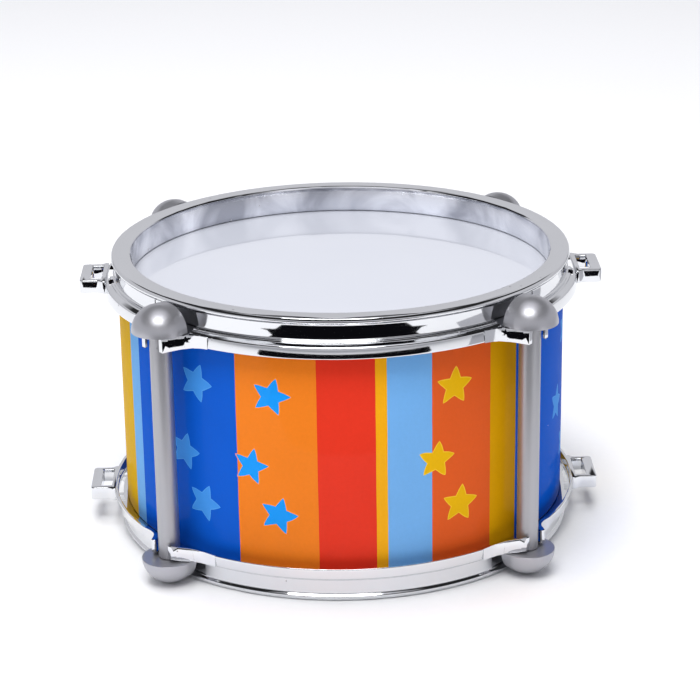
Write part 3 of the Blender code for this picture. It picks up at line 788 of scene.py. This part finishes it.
def moved_in(path, distance):
    """An open path moved to its left-hand side, with its corners mitred."""
    points = [Vector(p) for p in path]
    ways = [(b - a).normalized() for a, b in zip(points, points[1:])]
    sides = [Vector((-way.y, way.x)) for way in ways]
    sides = [sides[0]] + sides + [sides[-1]]
    made = []
    for point, before, after in zip(points, sides, sides[1:]):
        corner = (before + after).normalized()
        made.append(tuple(point + corner * distance / corner.dot(after)))
    return made


def both_arms(path, root_radius):
    """The outline of both arms, closed by an arc about the drum's axis."""
    widest = 0.9 * math.asin(ROOT_HALF / skirt_radius)
    angles = [widest * step / 6 for step in range(6, -7, -1)]
    root = [(root_radius * math.cos(a), root_radius * math.sin(a)) for a in angles]
    return path + [(x, -y) for x, y in reversed(path)] + root


ARM_BENDS = ((-5.0, 18.4), (-3.5, 14.8), (-1.3, 11.6), (1.9, 8.7), (4.9, 6.3))  # from the column's axis, in mm
arm_start = (math.sqrt(skirt_radius**2 - ROOT_HALF**2) + 0.05 * MM, -ROOT_HALF)
arm = curve_through([arm_start] + [(column_axis + x * MM, -y * MM) for x, y in ARM_BENDS])


def lug_tools():
    """The cut made in the ring at a lug, and the finished lug that fills it."""
    near, far, tip = column_axis - 6.0 * MM, column_axis - 2.7 * MM, column_axis + 6 * MM
    side_view = [
        (wall_outside - 3 * MM, web_depth + 0.6 * MM), (near, web_depth + 0.6 * MM), (far, seat_height - touch),
        (column_axis + 1.5 * MM, seat_height + touch), (tip, seat_height + 1.7 * MM), (tip, skirt_depth + 2.3 * MM),
        (tip - 1.2 * MM, skirt_depth + 3.1 * MM), (far, skirt_depth + 1.4 * MM), (near, skirt_depth + 0.1 * MM),
        (wall_outside - 3 * MM, skirt_depth + 0.1 * MM),
    ]
    lug = add("lug", prism(both_arms(arm, shell_radius + 2 * touch), 2 * MM, 40 * MM))
    slope = add("slope", prism([(x, -z) for x, z in side_view], -50 * MM, 50 * MM))
    slope.data.transform(Matrix.Rotation(-math.pi / 2, 4, "X"))
    combine(lug, slope, "INTERSECT")
    half = 13.0 * MM
    cuts = []
    for _ in range(2):
        cut = add("cut", prism(both_arms(moved_in(arm, ARM), shell_radius + touch), seat_height + PAD, 40 * MM))
        notch = block((wall_outside - 1.0 * MM, -half, 3.3 * MM), (column_axis + 20 * MM, half, seat_height))
        combine(cut, add("notch", notch), "UNION")
        front = block((rim_radius + 0.4 * MM, -half, 0.4 * MM), (column_axis + 19 * MM, half, 3.6 * MM))
        combine(cut, add("front", front), "UNION")
        combine(cut, add("slot", rod(COLUMN_GRIP, 1 * MM, 39 * MM, 64, column_axis)), "UNION")
        grip = COLUMN_GRIP * 0.8
        mouth = block((column_axis, -grip, 1.5 * MM), (column_axis + 19 * MM, grip, 38.5 * MM))
        combine(cut, add("mouth", mouth), "UNION")
        cuts.append(cut)
    combine(lug, cuts.pop(), "DIFFERENCE")
    return lug, cuts.pop()


lug, cut = lug_tools()
for tool, operation in ((cut, "DIFFERENCE"), (lug, "UNION")):
    grow(tool, repeating, Count=4, Start_Angle=math.pi / 4, Material=plated)
    combine(hoop, tool, operation)
print("hoop with lugs:", len(hoop.data.polygons), "faces")

# %% [markdown]
# ## Strap loops
# Two rectangular loops stand out of the skirt for a carrying strap, each with a slot and a small gusset on
# either side. Inside each loop, three pockets open through the flange and leave two ribs between them.

# %% Strap loops
LOOP_HALF = 12.3 * MM
LOOP_SIDE = 2.9 * MM
loop_inner = skirt_radius + 0.5 * MM
loop_outer = loop_inner + 9.8 * MM
LOOP_SLOT = 5.1 * MM


def strap_loop():
    """One loop on +X, with its slot cut and its edges rounded."""
    root, gusset = skirt_radius - moulding * 0.9, 1.7 * MM
    side = [
        (root, LOOP_HALF + gusset, 0), (skirt_radius - 0.2 * MM, LOOP_HALF + gusset, 0.4 * MM),
        (skirt_radius + gusset, LOOP_HALF, 1.2 * MM), (loop_outer, LOOP_HALF, 1.8 * MM),
    ]
    outline = softened(side + [(x, -y, r) for x, y, r in reversed(side)], 5)
    body = add("strap_loop", prism(outline, web_depth - 0.1 * MM, skirt_depth + 0.1 * MM))
    inside = LOOP_HALF - LOOP_SIDE
    hole = [
        (loop_inner, inside), (loop_inner + LOOP_SLOT, inside),
        (loop_inner + LOOP_SLOT, -inside), (loop_inner, -inside),
    ]
    slot = add("slot", prism(softened([(x, y, 0.5 * MM) for x, y in hole]), 0, 30 * MM))
    combine(body, slot, "DIFFERENCE")
    rounded(body, 0.45 * MM, 3, 38)
    return body


def pocket_tools():
    """The three pockets inside a loop, as one tool."""
    middle = skirt_radius - moulding - 1.5 * MM
    rib = (LOOP_HALF - LOOP_SIDE) / middle
    wide, outer = LOOP_SIDE / middle, 7 * MM / middle
    inside, outside = middle - 1.1 * MM, middle + 1.1 * MM
    bm = bmesh.new()
    for start, end in ((-rib, rib), (rib + wide, rib + wide + outer), (-rib - wide - outer, -rib - wide)):
        angles = [start + (end - start) * i / 12 for i in range(13)]
        ring = [(outside * math.cos(a), outside * math.sin(a)) for a in angles]
        ring += [(inside * math.cos(a), inside * math.sin(a)) for a in reversed(angles)]
        piece = prism(ring, web_depth - 4 * MM, web_depth + 4 * MM)
        mesh = bpy.data.meshes.new("pocket")
        piece.to_mesh(mesh)
        bm.from_mesh(mesh)
        bpy.data.meshes.remove(mesh)
    return add("pockets", bm)


for tool, operation in ((strap_loop(), "UNION"), (pocket_tools(), "DIFFERENCE")):
    grow(tool, repeating, Count=2, Start_Angle=0.0, Material=plated)
    combine(hoop, tool, operation)
rounded(hoop, 0.28 * MM, 2, 40, beyond=skirt_radius + 0.3 * MM, clamp=False)
smooth(hoop, 30)
print("finished hoop:", len(hoop.data.polygons), "faces")

# %% [markdown]
# ## Two hoops from one mould
# The top hoop is the bottom one turned over. Each is its own piece, so that it can be reused on its own. The
# bottom hoop is also drilled for the two screws that hold the snares.

# %% Two hoops from one mould
HOLE_RADIUS, HOLE_LEVEL = 1.5 * MM, 6.5 * MM
HOLE_REACH = 100.9 * MM  # through the inner wall at both sides, short of the outer one
flip = Matrix.Translation((0, 0, drum_height)) @ Matrix.Rotation(math.pi, 4, "X")
top_hoop = copied("top_hoop_plated", hoop, flip)
drill = add("drill", rod(HOLE_RADIUS, -HOLE_REACH, HOLE_REACH, 32))
drill.data.transform(Matrix.Translation((0, 0, HOLE_LEVEL)) @ Matrix.Rotation(math.pi / 2, 4, "Y"))
combine(hoop, drill, "DIFFERENCE")
smooth(hoop, 30)
hoop.name = "bottom_hoop_plated"
hand_over(top_hoop, plated, "drum", ["top_hoop"])
hand_over(hoop, plated, "drum", ["bottom_hoop"])

# %% [markdown]
# ## Shell, skins and the rings that hold them
# The shell is a plain tube with its ends broken smooth. Each skin is a thin disc with a soft edge, pressed over
# the shell's end by a ring in the hoop's channel.

# %% Shell, skins and rings


def turned_piece(name, corners, material, nodes):
    """A ring turned from corners of (radius, height, rounding)."""
    section = outline_object(name, softened([(x - shell_radius, y, r) for x, y, r in corners]))
    piece = grow(section, turning, Sweep_Radius=shell_radius, Segments=288, Material=material)
    smooth(piece)
    hand_over(piece, material, "drum", nodes)


SHELL_WALL = 2.4 * MM
low, high = shell_low[2], shell_high[2]
inside = shell_radius - SHELL_WALL
tube = [(shell_radius, low), (shell_radius, high), (inside, high), (inside, low)]
turned_piece("shell_printed", [(x, y, 0.5 * MM) for x, y in tube], printed, ["shell"])
for side in ("batter", "snare"):
    (_, _, low), (outer, _, high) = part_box(side + "_head_ring")
    inner = rim_inside + moulding + touch
    square = [(outer, low), (outer, high), (inner, high), (inner, low)]
    corners = [(x, y, 0.4 * MM) for x, y in square]
    turned_piece(side + "_ring_moulded", corners, ring_plastic, [side + "_head_ring"])
    (_, _, low), (skin_radius, _, high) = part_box(side + "_head")
    disc = rod(skin_radius, low, high, 288)
    bmesh.ops.inset_individual(disc, faces=[f for f in disc.faces if len(f.verts) > 4], thickness=0.1 * MM, depth=0)
    piece = add(side + "_skin", disc)
    smooth(piece)
    hand_over(piece, skin, "drum", [side + "_head"])

# %% [markdown]
# ## Domes
# A dome is a quarter of a flattened ball in front of the column and the same arch drawn straight back behind
# it, so that a soft crease shows where the two meet. It is built as rows of points from its foot to its crown.
# The back tapers in a little, as any moulding does to leave its mould.

# %% Domes
DOME_RADIUS, DOME_HEIGHT, DOME_BACK = 12.3 * MM, 11.7 * MM, 5.2 * MM
BACK_TAPER = 0.035
ROWS, FRONT, BEHIND = 20, 36, 5


def dome(*drills):
    """A dome hanging from its flat face at z = 0, with the column's axis on Z and the drum's centre at -X."""
    bm = bmesh.new()
    rows = []
    for row in range(ROWS + 1):
        rise = math.radians(90 * row / ROWS)
        radius, height = DOME_RADIUS * math.cos(rise), -DOME_HEIGHT * math.sin(rise)
        turns = [math.radians(-90 + 180 * i / FRONT) for i in range(FRONT + 1)]
        front = [(radius * math.cos(t), radius * math.sin(t), height) for t in turns]
        rear = []
        for step in range(1, BEHIND + 1):
            share = step / BEHIND
            taper = 1 - BACK_TAPER * share
            rear.append((-DOME_BACK * share, radius * taper, height * taper))
        left = [(x, -y, z) for x, y, z in reversed(rear)]
        rows.append([bm.verts.new(p) for p in left + front + rear])
    for lower, upper in zip(rows, rows[1:]):
        for i in range(len(lower) - 1):
            bm.faces.new((lower[i], lower[i + 1], upper[i + 1], upper[i]))
    bm.faces.new([r[0] for r in rows] + [r[-1] for r in reversed(rows[:-1])])
    bm.faces.new(rows[0])
    bmesh.ops.remove_doubles(bm, verts=bm.verts, dist=1e-6)
    made = add("dome", bm)
    for drill in drills:
        combine(made, add("drill", drill), "DIFFERENCE")
    rounded(made, 0.4 * MM, 3, 50)
    smooth(made, 35)
    made.modifiers.new("even", "WEIGHTED_NORMAL").keep_sharp = True
    return made


SOCKET, SCREW_HOLE, HEAD_HOLE, NUT_POCKET = 4.2 * MM, 2.3 * MM, 4.1 * MM, 4.4 * MM  # radii
lower_dome = dome(
    rod(SOCKET, -2 * MM, 1 * MM), rod(SCREW_HOLE, -13 * MM, -1 * MM), rod(HEAD_HOLE, -13 * MM, -8.1 * MM)
)
upper_dome = dome(
    rod(SOCKET, -2 * MM, 1 * MM), rod(NUT_POCKET, -5.5 * MM, -1 * MM, 6), rod(SCREW_HOLE, -7 * MM, -5 * MM)
)
print("dome:", len(lower_dome.data.polygons), "faces")

# %% [markdown]
# ## Columns, screws and nuts
# A column is a drawn tube with both ends turned down to fit its domes. Through it runs the tension screw, with
# a cross in its pan head and a rolled thread where the nut grips it. The thread is the coil tree, wound tightly
# round the shank.

# %% Columns, screws and nuts


def turned_solid(name, outline, segments=64):
    """An open outline of (radius, height) points that ends on the axis, turned solid."""
    bm = bmesh.new()
    points = [bm.verts.new((radius, 0, height)) for radius, height in outline]
    for start, end in zip(points, points[1:]):
        bm.edges.new((start, end))
    bmesh.ops.spin(
        bm, geom=bm.verts[:] + bm.edges[:], cent=(0, 0, 0), axis=(0, 0, 1), angle=math.tau, steps=segments
    )
    bmesh.ops.remove_doubles(bm, verts=bm.verts, dist=1e-6)
    return add(name, bm)


def pan_head(radius, height):
    """The outline of a pan head from its crown to its seat at z = 0."""
    shares = ((0, 1), (0.45, 0.99), (0.75, 0.90), (0.93, 0.68), (1, 0.4), (1, 0.06), (0.96, 0))
    return [(radius * across, -height * up) for across, up in shares]


def screw(name, shank, head, head_height, length, threaded, pitch):
    """A pan-head screw on Z with a cross in its head, its seat at z = 0 and its shank pointing up."""
    point = [(shank * 0.86, 0), (shank * 0.86, length - shank * 0.5), (shank * 0.5, length), (0, length)]
    made = turned_solid(name, pan_head(head, head_height) + point)
    wide, deep, thick = head * 0.60, head_height * 0.55, head * 0.11
    for x, y in ((wide, thick), (thick, wide)):
        combine(made, add("cross", block((-x, -y, -head_height - MM), (x, y, deep - head_height))), "DIFFERENCE")
    smooth(made)
    wire = shank * 0.14
    thread = grow(
        add("thread", bmesh.new()), coiling, Length=threaded, Coil_Radius=shank * 0.86, Wire_Radius=wire,
        Turns=threaded / pitch, Steps=16, Material=zinc,
    )
    thread.data.shade_smooth()
    bm = bmesh.new()
    bm.from_mesh(made.data)
    thread.data.transform(Matrix.Translation((0, 0, length - threaded - shank * 0.5)))
    bm.from_mesh(thread.data)
    bm.to_mesh(made.data)
    bm.free()
    bpy.data.objects.remove(thread)
    return made


(_, _, screw_low), (_, _, screw_high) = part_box("tension_screw_front_right")
SCREW_HEAD = 2.4 * MM
NUT_FLATS = 7.0 * MM
bolt = screw("bolt", 2.0 * MM, 3.8 * MM, SCREW_HEAD, screw_high - screw_low - SCREW_HEAD, 14 * MM, 0.7 * MM)
nut = add("nut", rod(NUT_FLATS / 2 / math.cos(math.pi / 6), 2.0 * MM, 5.2 * MM, 6))
combine(nut, add("bore", rod(2.1 * MM, 0, 9 * MM)), "DIFFERENCE")
rounded(nut, 0.25 * MM, 2, 40)
smooth(nut)
low, high = plate_height + touch, drum_height - plate_height - touch
TUBE, SPIGOT, BORE = 4.8 * MM, 3.9 * MM, 2.6 * MM  # radii of the column, its turned-down ends and its bore
SPIGOT_LENGTH = 1.7 * MM
SWEEP = 3 * MM
bottom, top = low - SPIGOT_LENGTH, high + SPIGOT_LENGTH
tube = [
    (TUBE, low, 0.25), (TUBE, high, 0.25), (SPIGOT, high, 0.1), (SPIGOT, top, 0.3),
    (BORE, top, 0.2), (BORE, bottom, 0.2), (SPIGOT, bottom, 0.3), (SPIGOT, low, 0.1),
]
section = outline_object("column", softened([(x - SWEEP, y, r * MM) for x, y, r in tube]))
column = grow(section, turning, Sweep_Radius=SWEEP, Segments=64, Material=column_paint)
smooth(column)

# %% [markdown]
# ## One of each at every corner
# The same five pieces stand at each lug, and each copy is a piece of its own with its place in its mesh. The
# screws turn, so each rides on its own body. Everything else rides with the drum.

# %% One of each at every corner
for corner, degrees in LUGS.items():
    turn = Matrix.Rotation(math.radians(degrees), 4, "Z") @ Matrix.Translation((column_axis, 0, 0))
    on_plate = turn @ Matrix.Translation((0, 0, plate_height))
    under_top = turn @ Matrix.Translation((0, 0, drum_height - plate_height))
    over_top = under_top @ Matrix.Rotation(math.pi, 4, "X")
    at_seat = turn @ Matrix.Translation((0, 0, screw_low + SCREW_HEAD))
    kinds = (
        ("column", column, turn, column_paint, "satin_grey", "drum"),
        ("bottom_dome", lower_dome, on_plate, dome_paint, "satin_grey", "drum"),
        ("top_dome", upper_dome, over_top, dome_paint, "satin_grey", "drum"),
        ("captive_nut", nut, under_top, zinc, "zinc_steel", "drum"),
        ("tension_screw", bolt, at_seat, zinc, "zinc_steel", "screw_" + corner),
    )
    for kind, pattern, place, material, slot, body in kinds:
        piece = copied("%s_%s_fine" % (kind, corner), pattern, place)
        if "dome" in kind:
            piece.modifiers.new("even", "WEIGHTED_NORMAL").keep_sharp = True
        hand_over(piece, material, body, ["%s_%s" % (kind, corner)])
for pattern in (column, lower_dome, upper_dome, nut, bolt):
    bpy.data.objects.remove(pattern)

# %% [markdown]
# ## Snares
# Under the lower skin lie eight coils of fine wire, soldered at both ends to a steel plate. A bent bracket holds
# each plate to the hoop with two small screws. A coil is what makes a snare buzz, so each strand is wound for
# real by the coil tree.

# %% Strands
COIL_PITCH = 1.15 * MM
wire = 0.22 * MM
for number in range(1, 9):
    name = "snare_strand_%d" % number
    (x0, y0, z0), (x1, y1, z1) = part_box(name)
    outer = (z1 - z0) / 2 * 0.99
    strand = grow(
        add(name + "_coil", bmesh.new()), coiling, Length=x1 - x0 - 2 * wire, Coil_Radius=outer - wire,
        Wire_Radius=wire, Turns=(x1 - x0) / COIL_PITCH, Steps=12, Material=drawn_wire,
    )
    lay = Matrix.Translation((x0 + wire, (y0 + y1) / 2, (z0 + z1) / 2)) @ Matrix.Rotation(math.pi / 2, 4, "Y")
    strand.data.transform(lay)
    strand.data.shade_smooth()
    hand_over(strand, drawn_wire, "drum", [name])
print("strand:", len(strand.data.polygons), "faces")

# %% [markdown]
# The plates and brackets are bent and punched sheet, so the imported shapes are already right. Each is copied,
# its loose triangles are merged, and its edges get the small rounding that tumbling leaves.

# %% Plates, brackets and small screws
SMALL_HEAD_HEIGHT = 1.7 * MM
for side in ("right", "left"):
    for kind in ("snare_plate", "snare_bracket"):
        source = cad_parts["%s_%s" % (kind, side)]
        piece = copied("%s_%s_fine" % (kind, side), source)
        rounded(piece, 0.15 * MM, 2, 50)
        smooth(piece)
        hand_over(piece, sheet_steel, "drum", [source.name])
    sign = 1 if side == "right" else -1
    for kind in ("snare_clamp_screw", "snare_wall_screw"):
        source = "%s_%s" % (kind, side)
        low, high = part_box(source)
        centre = [(a + b) / 2 for a, b in zip(low, high)]
        upright = kind == "snare_clamp_screw"
        whole = high[2] - low[2] if upright else high[0] - low[0]
        length, threaded = whole - SMALL_HEAD_HEIGHT, (whole - 2.6 * MM) * 0.9
        small = screw(source + "_fine", 1.4 * MM, 2.6 * MM, SMALL_HEAD_HEIGHT, length, threaded, 0.5 * MM)
        if upright:
            where = Matrix.Translation((centre[0], centre[1], low[2] + SMALL_HEAD_HEIGHT))
        else:
            seat = low[0] + SMALL_HEAD_HEIGHT if sign > 0 else high[0] - SMALL_HEAD_HEIGHT
            where = Matrix.Translation((seat, centre[1], centre[2])) @ Matrix.Rotation(sign * math.pi / 2, 4, "Y")
        small.data.transform(where)
        hand_over(small, zinc, "drum", [source])

# %% [markdown]
# ## Studio
# Chrome only looks like chrome when it has something to mirror. The drum stands on white paper, lit by a soft
# lamp above its front, a larger one over its back and a weak one at its left. Two cards lie on the paper, out
# of the picture: a black fan in front, which gives the front of the upper hoop its black band, and a grey one
# at the right. The room is a plain pale grey, but what the plating mirrors of it has bright and dark levels.

# %% Floor and cards


def card(name, corners, material, seen=True):
    """A flat card of the studio. If it isn't seen, only mirrors show it."""
    mesh = bpy.data.meshes.new(name)
    mesh.from_pydata(corners, [], [tuple(range(len(corners)))])
    mesh.materials.append(material)
    made = place_new(name, mesh)
    if not seen:
        made.visible_camera = made.visible_diffuse = made.visible_shadow = False
    return made


floor_paper, tree, shader = finish("white_paper", Roughness=0.9, Specular_IOR_Level=0.1)
fibre = node(tree, "ShaderNodeTexNoise", Vector=object_place(tree), Scale=300.0).outputs[0]
plug(tree, blend_colours(tree, fibre, (0.90, 0.90, 0.905), (0.93, 0.93, 0.93)), shader.inputs["Base Color"])
PAPER, PAPER_LEVEL, CARD_LEVEL = 6, -0.0002, 0.001
card("floor", [(x * PAPER, y * PAPER, PAPER_LEVEL) for x, y in ((-1, -1), (1, -1), (1, 1), (-1, 1))], floor_paper)
matt = {"Roughness": 1.0, "Specular_IOR_Level": 0.0}
black_card = finish("black_card", Base_Color=(0.003, 0.003, 0.004, 1), **matt)[0]
grey_card = finish("grey_card", Base_Color=(0.42, 0.42, 0.44, 1), **matt)[0]
FAN_CENTRE = -0.09
REACHES = ((0.21, 33), (0.315, 38), (0.335, 46), (0.350, 42), (0.45, 38), (0.8, 42), (1.7, 40))  # metres, degrees
fan = [(reach * math.sin(math.radians(a)), FAN_CENTRE - reach * math.cos(math.radians(a))) for reach, a in REACHES]
fan += [(-x, y) for x, y in reversed(fan)]
card("front_card", [(x, y, CARD_LEVEL) for x, y in fan], black_card, False)
side_card = ((0.34, -0.28), (1.9, -1.1), (1.9, 0.4), (0.34, 0.1))
card("right_card", [(x, y, CARD_LEVEL) for x, y in side_card], grey_card, False)

# %% Lamps and room


def lamp(name, place, target, size, power, tint=(1, 1, 1), seen=True):
    """A rectangular soft lamp aimed at a point. If it isn't seen, no mirror shows it."""
    data = bpy.data.lights.new(name, "AREA")
    data.shape, data.size, data.size_y = "RECTANGLE", *size
    data.energy, data.color = power, tint
    made = place_new(name, data)
    made.location = place
    made.rotation_euler = (Vector(target) - Vector(place)).to_track_quat("-Z", "Y").to_euler()
    made.visible_glossy = seen


lamp("front_softbox", (-0.16, -0.90, 1.75), (0, 0, 0.06), (1.1, 0.8), 19)
lamp("ceiling", (-0.2, 0.3, 2.6), (0, 0, 0.0), (1.6, 1.6), 44, seen=False)
lamp("left_softbox", (-1.4, -0.5, 0.9), (0, 0, 0.08), (0.7, 1.1), 2.5, (0.97, 0.98, 1.0), seen=False)
room = bpy.data.worlds.new("white_room")
room.use_nodes = True
scene.world = room
tree = room.node_tree
direction = node(tree, "ShaderNodeSeparateXYZ", Vector=node(tree, "ShaderNodeTexCoord").outputs["Generated"])
LEVELS = ((0.0, 0.62), (0.44, 0.72), (0.52, 0.03), (0.86, 0.02), (0.93, 1.0), (1.0, 1.0))  # sine of height, grey
heights = colour_ramp(tree, direction.outputs["Z"], [(level, (grey, grey, grey * 1.05)) for level, grey in LEVELS])
mirrored = node(tree, "ShaderNodeLightPath").outputs["Is Glossy Ray"]
background = tree.nodes["Background"]
plug(tree, blend_colours(tree, mirrored, (0.36, 0.365, 0.40), heights), background.inputs["Color"])
scene.view_settings.view_transform = "Standard"
print("studio is set")
